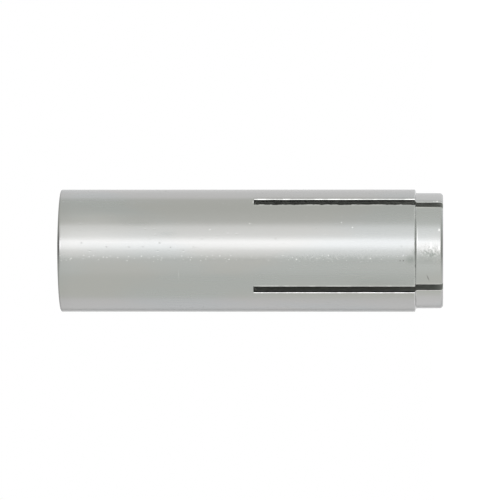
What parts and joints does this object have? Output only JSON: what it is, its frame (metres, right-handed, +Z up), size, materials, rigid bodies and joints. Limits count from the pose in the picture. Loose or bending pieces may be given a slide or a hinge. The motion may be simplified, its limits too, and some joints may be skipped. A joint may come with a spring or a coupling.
{
  "type": "drop-in anchor",
  "caption": "Drop-in anchor: a tapped steel shell with a slotted, stepped tip and a sliding cone plug inside that spreads the legs.",
  "frame": {"origin": "centre of the tip's end face, on the anchor's axis, where the anchor stands", "axes": "+Z up the anchor's axis, out of the tapped mouth; the sawn slots lie on +X, +Y, -X and -Y"},
  "size_m": [0.0126, 0.0126, 0.0397],
  "materials": {
    "plated_shell": "satin bright zinc plate",
    "plug_steel": "plain turned steel, thinly plated"
  },
  "bodies": {
    "shell": {"anchor_body": "plated_shell"},
    "plug": {"expander_plug": "plug_steel"}
  },
  "joints": [
    {"name": "plug_drive", "type": "slide", "parent": "shell", "child": "plug", "axis": [0, 0, -1], "range_m": [0, 0.002]}
  ]
}
